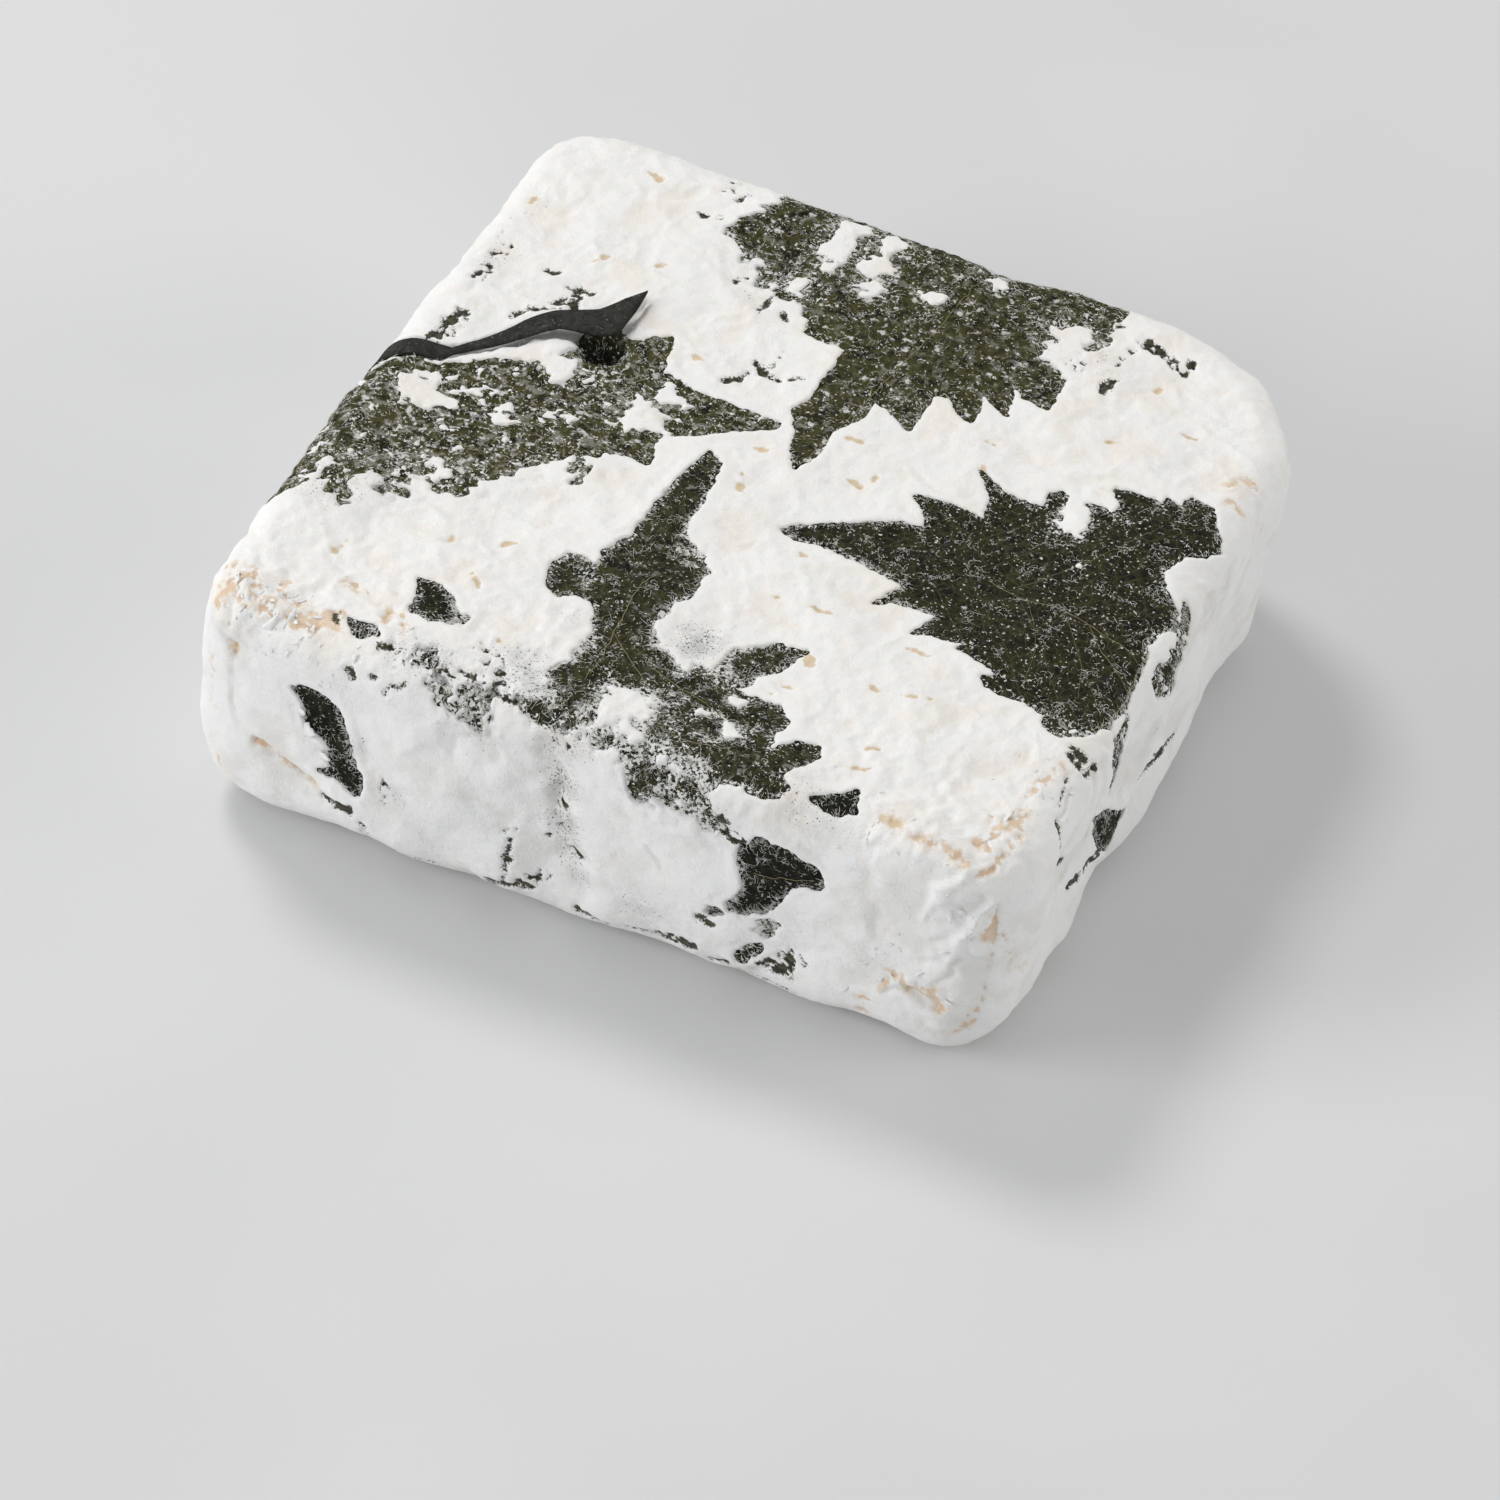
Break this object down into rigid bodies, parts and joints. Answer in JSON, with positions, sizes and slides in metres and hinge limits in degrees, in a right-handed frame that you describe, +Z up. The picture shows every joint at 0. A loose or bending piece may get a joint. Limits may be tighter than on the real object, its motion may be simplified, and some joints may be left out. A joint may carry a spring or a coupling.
{
  "type": "soft-ripened cheese",
  "caption": "Square slab of soft-ripened cheese in a white bloomy rind, with dark serrated leaves pressed into its skin and showing through it.",
  "frame": {"origin": "centre of the slab's footprint, at the height of the surface that it rests on", "axes": "+Z up through the slab's thickness, -Y out of the face that the picture shows on the left, +X out of the face on the right"},
  "size_m": [0.1038, 0.1033, 0.0348],
  "materials": {
    "rind": "matt white mould rind, downy, with ochre flecks and scuffs",
    "leaf": "dark green-black pressed leaf with fine veins and white threads of mould"
  },
  "bodies": {
    "root": {"cheese": "rind", "leaf_back": "leaf", "leaf_left": "leaf", "leaf_left_fold": "leaf", "leaf_front": "leaf", "leaf_right": "leaf", "scrap_front_left": "leaf", "scrap_front_edge": "leaf", "scrap_front_jag": "leaf", "scrap_front_ridge": "leaf", "scrap_near_corner": "leaf", "patch_front_left": "leaf", "patch_front_right": "leaf", "patch_front_stub": "leaf", "patch_front_arc": "leaf", "patch_right_low": "leaf", "patch_right_high": "leaf", "patch_right_strip": "leaf", "patch_back": "leaf", "patch_left": "leaf"}
  },
  "joints": []
}
